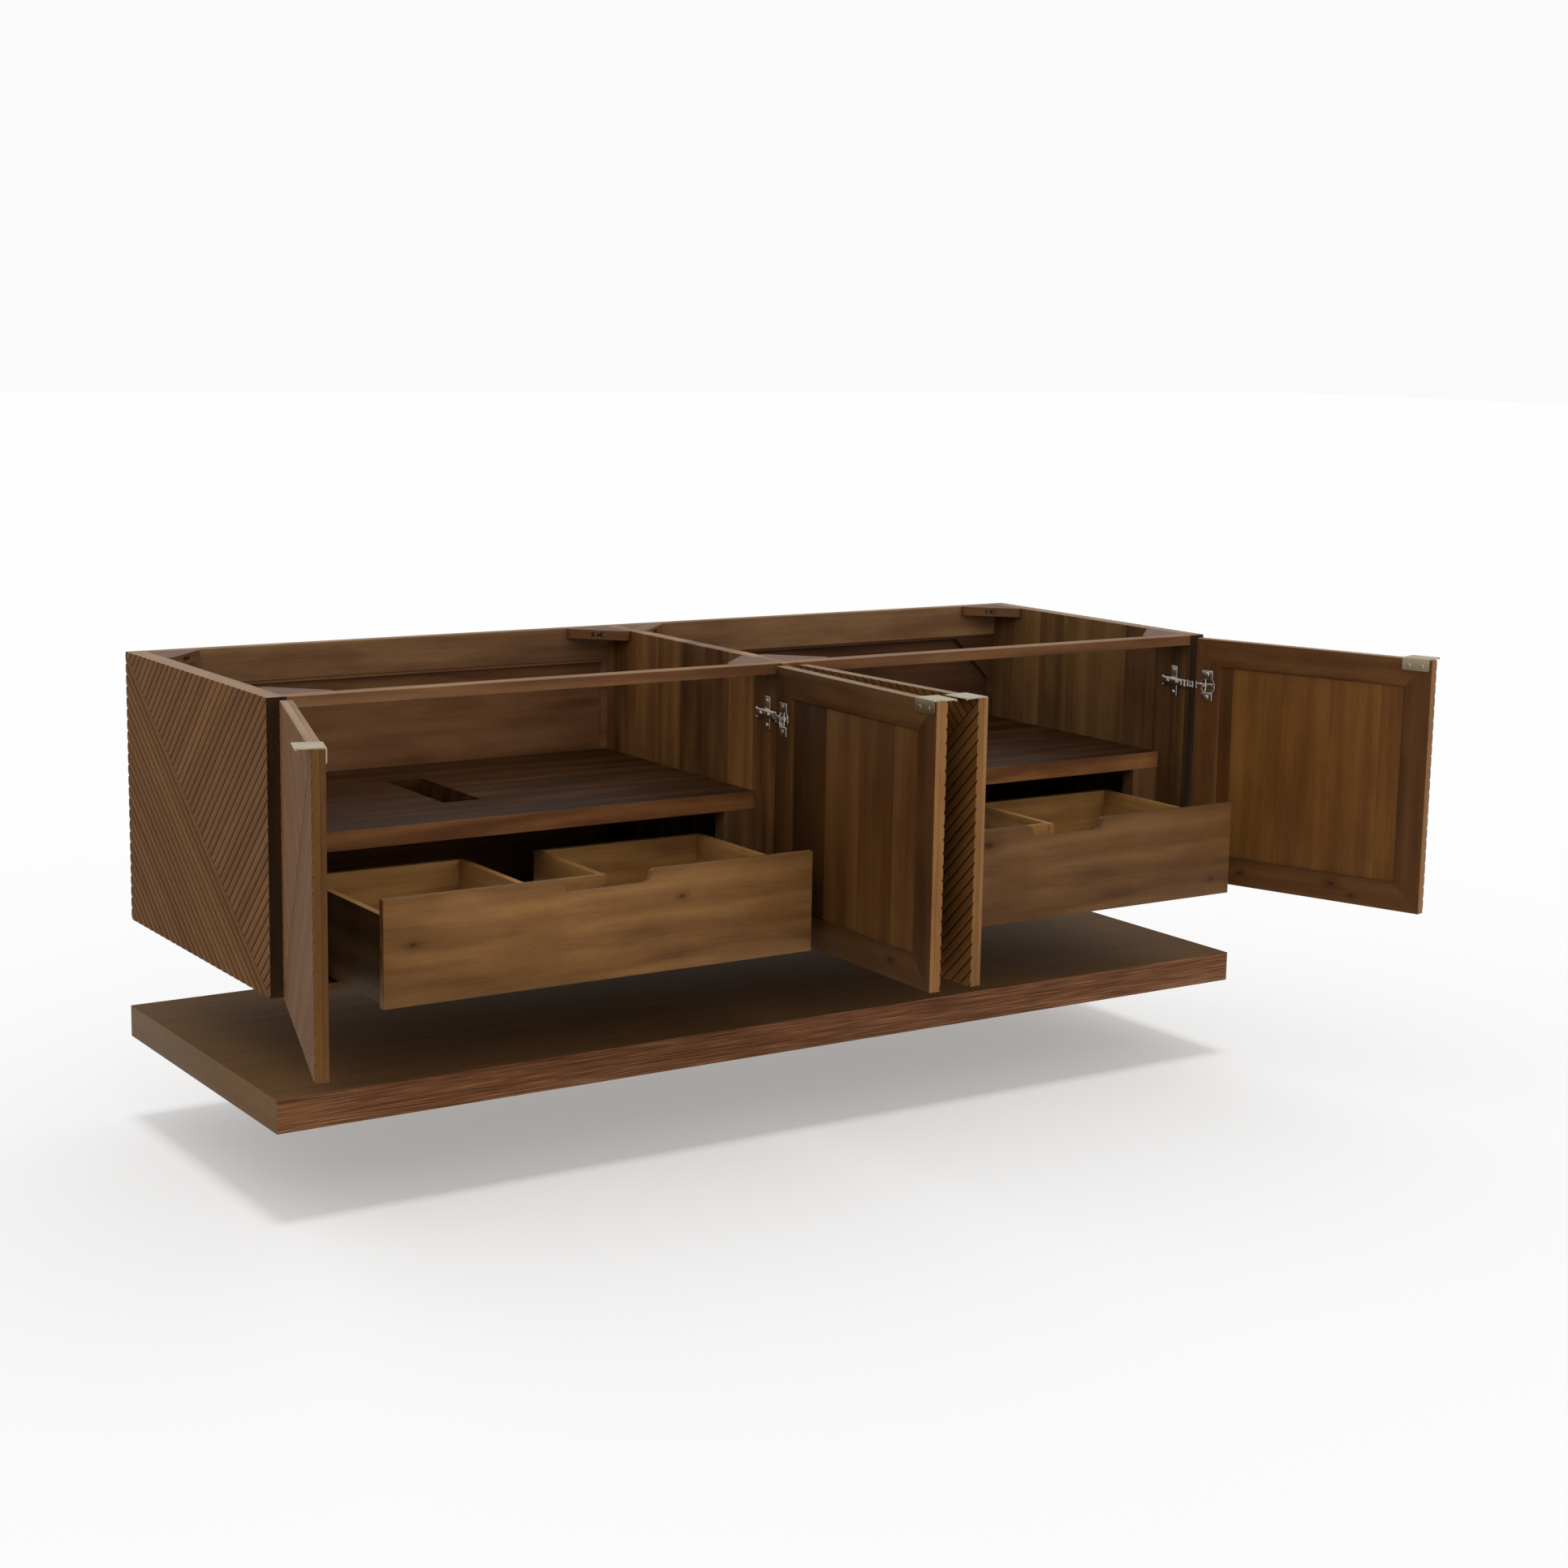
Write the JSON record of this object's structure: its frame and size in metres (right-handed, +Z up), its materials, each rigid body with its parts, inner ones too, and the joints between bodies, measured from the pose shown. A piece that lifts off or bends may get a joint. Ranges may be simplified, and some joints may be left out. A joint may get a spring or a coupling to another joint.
{
  "type": "wall-hung bathroom vanity cabinet",
  "caption": "Wall-hung double vanity cabinet in reeded walnut-stained wood without its top, doors and inner drawers open, over a thick floating shelf.",
  "frame": {"origin": "centre of the back rail's wall face, 30 mm below the cabinet's top", "axes": "+X to the right seen from the room, +Y into the wall, +Z up; the doors face -Y"},
  "size_m": [2.1193, 1.0668, 0.653],
  "materials": {
    "walnut_stain": "satin",
    "walnut_door": "satin",
    "drawer_walnut": "satin",
    "slab_veneer": "satin",
    "brass": "brushed",
    "nickel": "polished"
  },
  "bodies": {
    "cabinet": {"side_left": "walnut_stain", "side_right": "walnut_stain", "divider": "walnut_stain", "cabinet_floor": "walnut_stain", "back_rail": "walnut_stain", "front_rail_left": "walnut_stain", "back_panel_left": "walnut_stain", "access_cover_left": "walnut_stain", "shelf_left": "walnut_stain", "post_left_a": "walnut_stain", "post_left_b": "walnut_stain", "corner_block_left_back_a": "walnut_stain", "corner_block_left_back_b": "walnut_stain", "corner_block_left_front_a": "walnut_stain", "corner_block_left_front_b": "walnut_stain", "front_rail_right": "walnut_stain", "back_panel_right": "walnut_stain", "access_cover_right": "walnut_stain", "shelf_right": "walnut_stain", "post_right_a": "walnut_stain", "post_right_b": "walnut_stain", "corner_block_right_back_a": "walnut_stain", "corner_block_right_back_b": "walnut_stain", "corner_block_right_front_a": "walnut_stain", "corner_block_right_front_b": "walnut_stain", "hinge_arm_door_1_low": "nickel", "hinge_arm_door_1_high": "nickel", "hinge_arm_door_2_low": "nickel", "hinge_arm_door_2_high": "nickel", "hinge_arm_door_3_low": "nickel", "hinge_arm_door_3_high": "nickel", "hinge_arm_door_4_low": "nickel", "hinge_arm_door_4_high": "nickel", "floating_shelf": "slab_veneer"},
    "door_1": {"door_1_reeded_board": "walnut_door", "door_1_back_frame": "walnut_door", "door_1_pull_tab": "brass", "door_1_hinge_plate_low": "nickel", "door_1_hinge_plate_high": "nickel"},
    "door_2": {"door_2_reeded_board": "walnut_door", "door_2_back_frame": "walnut_door", "door_2_pull_tab": "brass", "door_2_hinge_plate_low": "nickel", "door_2_hinge_plate_high": "nickel"},
    "door_3": {"door_3_reeded_board": "walnut_door", "door_3_back_frame": "walnut_door", "door_3_pull_tab": "brass", "door_3_hinge_plate_low": "nickel", "door_3_hinge_plate_high": "nickel"},
    "door_4": {"door_4_reeded_board": "walnut_door", "door_4_back_frame": "walnut_door", "door_4_pull_tab": "brass", "door_4_hinge_plate_low": "nickel", "door_4_hinge_plate_high": "nickel"},
    "drawer_left": {"drawer_front_left": "drawer_walnut", "drawer_box_left": "drawer_walnut"},
    "drawer_right": {"drawer_front_right": "drawer_walnut", "drawer_box_right": "drawer_walnut"}
  },
  "joints": [
    {"name": "door_1_hinge", "type": "hinge", "parent": "cabinet", "child": "door_1", "pos_m": [-0.9025, -0.623, -0.196], "axis": [0, 0, 1], "range_deg": [0, 107.6]},
    {"name": "door_2_hinge", "type": "hinge", "parent": "cabinet", "child": "door_2", "pos_m": [-0.0115, -0.623, -0.196], "axis": [0, 0, -1], "range_deg": [0, 88.5]},
    {"name": "door_3_hinge", "type": "hinge", "parent": "cabinet", "child": "door_3", "pos_m": [0.0115, -0.623, -0.196], "axis": [0, 0, 1], "range_deg": [0, 87]},
    {"name": "door_4_hinge", "type": "hinge", "parent": "cabinet", "child": "door_4", "pos_m": [0.9025, -0.623, -0.196], "axis": [0, 0, -1], "range_deg": [0, 109]},
    {"name": "drawer_left_slide", "type": "slide", "parent": "cabinet", "child": "drawer_left", "axis": [0, 1, 0], "range_m": [0, 0.34]},
    {"name": "drawer_right_slide", "type": "slide", "parent": "cabinet", "child": "drawer_right", "axis": [0, 1, 0], "range_m": [0, 0.34]}
  ],
  "couplings": [
    {"joint": "door_2_hinge", "follows": "door_1_hinge", "ratio": 0.82249},
    {"joint": "drawer_left_slide", "follows": "door_1_hinge", "m_per_rad": 0.18105},
    {"joint": "door_3_hinge", "follows": "door_4_hinge", "ratio": 0.79816},
    {"joint": "drawer_right_slide", "follows": "door_4_hinge", "m_per_rad": 0.17872}
  ]
}
